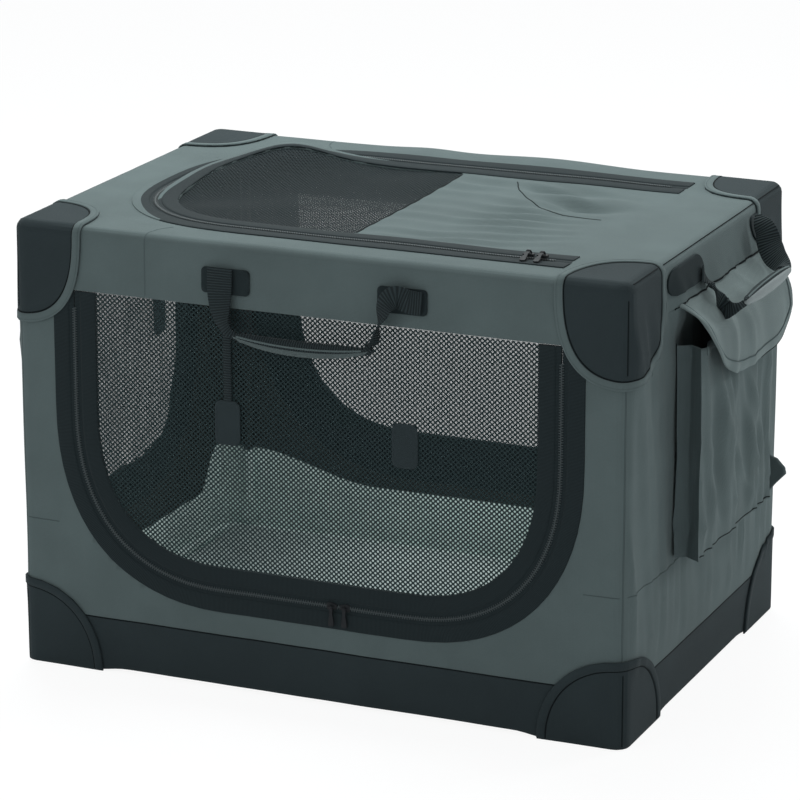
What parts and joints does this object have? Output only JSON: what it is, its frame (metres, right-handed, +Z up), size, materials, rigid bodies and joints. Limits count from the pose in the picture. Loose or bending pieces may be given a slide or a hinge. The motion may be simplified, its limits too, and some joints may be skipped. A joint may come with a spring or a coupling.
{
  "type": "folding dog carrier",
  "caption": "Folding fabric dog carrier: knee-jointed tube frame, padded shell, zipped mesh doors, mesh window, carrying handles and a flapped end pocket.",
  "frame": {"origin": "centre of the shell's bottom face", "axes": "+Z up, +X along the long side towards the pocket, -Y out of the front door"},
  "size_m": [0.8417, 0.5551, 0.5501],
  "materials": {
    "shell": "woven polyester, matt",
    "charcoal": "woven polyester, matt",
    "binding": "ribbed tape, matt",
    "mesh": "open knitted mesh",
    "mat": "brushed fleece over foam",
    "frame": "black powder coat, satin",
    "zip_metal": "gunmetal plating"
  },
  "bodies": {
    "base": {"base_frame": "frame", "base_cover": "charcoal", "floor_mat": "mat", "front_wall": "shell", "back_wall": "shell", "left_wall": "shell", "right_wall": "shell", "base_patch_front_left": "charcoal", "base_patch_front_right": "charcoal", "base_patch_back_left": "charcoal", "base_patch_back_right": "charcoal", "front_zip_tape": "binding", "left_zip_tape": "binding", "back_window_border": "binding", "back_window_net": "mesh", "cargo_pocket": "shell", "end_loop": "charcoal"},
    "left_lower_posts": {"lower_post_front_left": "frame", "lower_post_back_left": "frame"},
    "left_upper_posts": {"upper_post_front_left": "frame", "upper_post_back_left": "frame"},
    "top": {"top_frame": "frame", "top_cover": "shell", "top_patch_front_left": "charcoal", "top_patch_front_right": "charcoal", "top_patch_back_left": "charcoal", "top_patch_back_right": "charcoal", "roof_zip_tape": "binding", "front_handle_anchor_left": "binding", "front_handle_anchor_right": "binding", "end_handle_anchor_front": "binding", "end_handle_anchor_back": "binding"},
    "right_lower_posts": {"lower_post_front_right": "frame", "lower_post_back_right": "frame"},
    "right_upper_posts": {"upper_post_front_right": "frame", "upper_post_back_right": "frame"},
    "front_door": {"front_door_binding": "binding", "front_door_net": "mesh", "front_door_pad": "binding"},
    "left_door": {"left_door_binding": "binding", "left_door_net": "mesh", "left_door_pad": "binding"},
    "roof_door": {"roof_door_panel": "shell", "roof_door_net": "mesh"},
    "front_handle": {"front_handle_strap": "binding", "front_handle_grip": "charcoal"},
    "end_handle": {"end_handle_strap": "binding", "end_handle_grip": "charcoal"},
    "flap": {"pocket_flap": "shell"},
    "strap": {"tie_strap": "binding"},
    "front_left_zip_slider": {"front_left_slider": "zip_metal"},
    "front_left_zip_pull": {"front_left_pull": "zip_metal"},
    "front_right_zip_slider": {"front_right_slider": "zip_metal"},
    "front_right_zip_pull": {"front_right_pull": "zip_metal"},
    "left_door_zip_slider": {"left_door_slider": "zip_metal"},
    "left_door_zip_pull": {"left_door_pull": "zip_metal"},
    "roof_left_zip_slider": {"roof_left_slider": "zip_metal"},
    "roof_left_zip_pull": {"roof_left_pull": "zip_metal"},
    "roof_right_zip_slider": {"roof_right_slider": "zip_metal"},
    "roof_right_zip_pull": {"roof_right_pull": "zip_metal"}
  },
  "joints": [
    {"name": "fold_left_lower", "type": "hinge", "parent": "base", "child": "left_lower_posts", "pos_m": [-0.335, 0, 0.0268], "axis": [0, 1, 0], "range_deg": [0, 78], "deforming": ["front_wall", "back_wall", "left_wall", "right_wall", "front_zip_tape", "left_zip_tape", "back_window_border", "back_window_net", "cargo_pocket", "end_loop", "pocket_flap", "front_door_binding", "front_door_net", "front_door_pad", "left_door_binding", "left_door_net", "left_door_pad", "front_left_slider", "front_right_slider", "front_left_pull", "front_right_pull", "left_door_slider", "left_door_pull", "top_patch_front_left", "top_patch_front_right", "top_patch_back_left", "top_patch_back_right", "tie_strap"]},
    {"name": "fold_left_knee", "type": "hinge", "parent": "left_lower_posts", "child": "left_upper_posts", "pos_m": [-0.335, 0, 0.2705], "axis": [0, 1, 0], "range_deg": [-156, 0]},
    {"name": "fold_top", "type": "hinge", "parent": "left_upper_posts", "child": "top", "pos_m": [-0.335, 0, 0.5142], "axis": [0, 1, 0], "range_deg": [0, 78]},
    {"name": "fold_right_lower", "type": "hinge", "parent": "base", "child": "right_lower_posts", "pos_m": [0.335, 0, 0.0268], "axis": [0, 1, 0], "range_deg": [-78, 0]},
    {"name": "fold_right_knee", "type": "hinge", "parent": "right_lower_posts", "child": "right_upper_posts", "pos_m": [0.335, 0, 0.2705], "axis": [0, 1, 0], "range_deg": [0, 156]},
    {"name": "front_door_hinge", "type": "hinge", "parent": "base", "child": "front_door", "pos_m": [0, -0.265, 0.4634], "axis": [-1, 0, 0], "range_deg": [-80, 0]},
    {"name": "left_door_hinge", "type": "hinge", "parent": "base", "child": "left_door", "pos_m": [-0.3795, 0, 0.4804], "axis": [0, 1, 0], "range_deg": [-88, 0]},
    {"name": "roof_door_hinge", "type": "hinge", "parent": "top", "child": "roof_door", "pos_m": [0.2824, 0, 0.5395], "axis": [0, -1, 0], "range_deg": [-115, 0]},
    {"name": "front_handle_swing", "type": "hinge", "parent": "top", "child": "front_handle", "pos_m": [0, -0.27, 0.497], "axis": [1, 0, 0], "range_deg": [-150, 0]},
    {"name": "end_handle_swing", "type": "hinge", "parent": "top", "child": "end_handle", "pos_m": [0.3854, 0, 0.505], "axis": [0, 1, 0], "range_deg": [-110, 0]},
    {"name": "pocket_flap_hinge", "type": "hinge", "parent": "base", "child": "flap", "pos_m": [0.3813, 0, 0.481], "axis": [0, 1, 0], "range_deg": [-35, 0]},
    {"name": "tie_strap_swing", "type": "hinge", "parent": "top", "child": "strap", "pos_m": [-0.106, -0.2689, 0.476], "axis": [0, 1, 0], "range_deg": [-35, 35]},
    {"name": "front_left_zip_run", "type": "slide", "parent": "base", "child": "front_left_zip_slider", "axis": [1, 0, 0], "range_m": [-0.13, 0]},
    {"name": "front_right_zip_run", "type": "slide", "parent": "base", "child": "front_right_zip_slider", "axis": [-1, 0, 0], "range_m": [-0.065, 0]},
    {"name": "left_door_zip_run", "type": "slide", "parent": "base", "child": "left_door_zip_slider", "axis": [0, 1, 0], "range_m": [-0.038, 0.038]},
    {"name": "roof_left_zip_run", "type": "slide", "parent": "roof_door", "child": "roof_left_zip_slider", "axis": [1, 0, 0], "range_m": [-0.32, 0]},
    {"name": "roof_right_zip_run", "type": "slide", "parent": "roof_door", "child": "roof_right_zip_slider", "axis": [-1, 0, 0], "range_m": [-0.012, 0]},
    {"name": "front_left_pull_swing", "type": "hinge", "parent": "front_left_zip_slider", "child": "front_left_zip_pull", "pos_m": [0.02375, -0.2739, 0.124], "axis": [1, 0, 0], "range_deg": [-150, 0]},
    {"name": "front_right_pull_swing", "type": "hinge", "parent": "front_right_zip_slider", "child": "front_right_zip_pull", "pos_m": [0.04025, -0.2739, 0.124], "axis": [1, 0, 0], "range_deg": [-150, 0]},
    {"name": "left_door_pull_swing", "type": "hinge", "parent": "left_door_zip_slider", "child": "left_door_zip_pull", "pos_m": [-0.3884, 0, 0.135], "axis": [0, -1, 0], "range_deg": [-150, 0]},
    {"name": "roof_left_pull_swing", "type": "hinge", "parent": "roof_left_zip_slider", "child": "roof_left_zip_pull", "pos_m": [0.23275, -0.192, 0.5484], "axis": [1, 0, 0], "range_deg": [-150, 0]},
    {"name": "roof_right_pull_swing", "type": "hinge", "parent": "roof_right_zip_slider", "child": "roof_right_zip_pull", "pos_m": [0.24925, -0.192, 0.5484], "axis": [1, 0, 0], "range_deg": [-150, 0]}
  ],
  "couplings": [
    {"joint": "fold_left_knee", "follows": "fold_left_lower", "ratio": -2},
    {"joint": "fold_top", "follows": "fold_left_lower", "ratio": 1},
    {"joint": "fold_right_lower", "follows": "fold_left_lower", "ratio": -1},
    {"joint": "fold_right_knee", "follows": "fold_left_lower", "ratio": 2}
  ]
}
